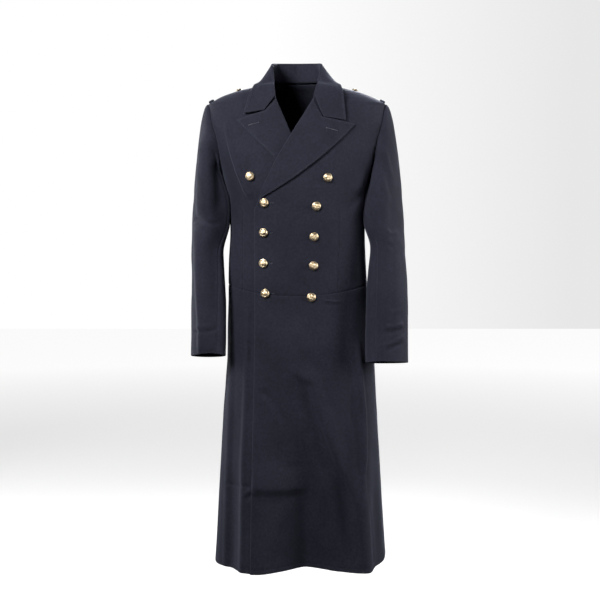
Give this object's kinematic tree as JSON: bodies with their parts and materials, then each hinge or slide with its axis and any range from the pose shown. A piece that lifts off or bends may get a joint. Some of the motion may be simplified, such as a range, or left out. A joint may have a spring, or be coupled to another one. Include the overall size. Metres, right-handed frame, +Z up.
{
  "type": "military greatcoat",
  "caption": "Long double-breasted dark navy wool greatcoat with peak lapels, fall collar, waist seam and domed brass buttons, shown worn, hollow and open at neck, cuffs and hem.",
  "frame": {"origin": "middle of the neck, level with the neck ends of the shoulder seams, where the wearer's shoulders carry the coat", "axes": "+X the coat's left side, -Y its front, +Z up"},
  "size_m": [0.544, 0.4034, 1.2643],
  "materials": {
    "wool": "dark navy wool twill, lightly milled, soft sheen",
    "button": "gilt brass, polished dome with worn edges"
  },
  "bodies": {
    "root": {"front_left_bodice": "wool", "front_left_skirt": "wool", "front_right_bodice": "wool", "front_right_skirt": "wool", "back_left": "wool", "back_right": "wool", "top_sleeve_left": "wool", "under_sleeve_left": "wool", "top_sleeve_right": "wool", "under_sleeve_right": "wool", "collar": "wool", "lapel_left": "wool", "lapel_right": "wool", "shoulder_loop_left": "wool", "shoulder_loop_right": "wool", "button_left_1": "button", "button_left_2": "button", "button_left_3": "button", "button_left_4": "button", "button_left_5": "button", "button_right_1": "button", "button_right_2": "button", "button_right_3": "button", "button_right_4": "button", "button_right_5": "button", "button_shoulder_left": "button", "button_shoulder_right": "button"}
  },
  "joints": []
}
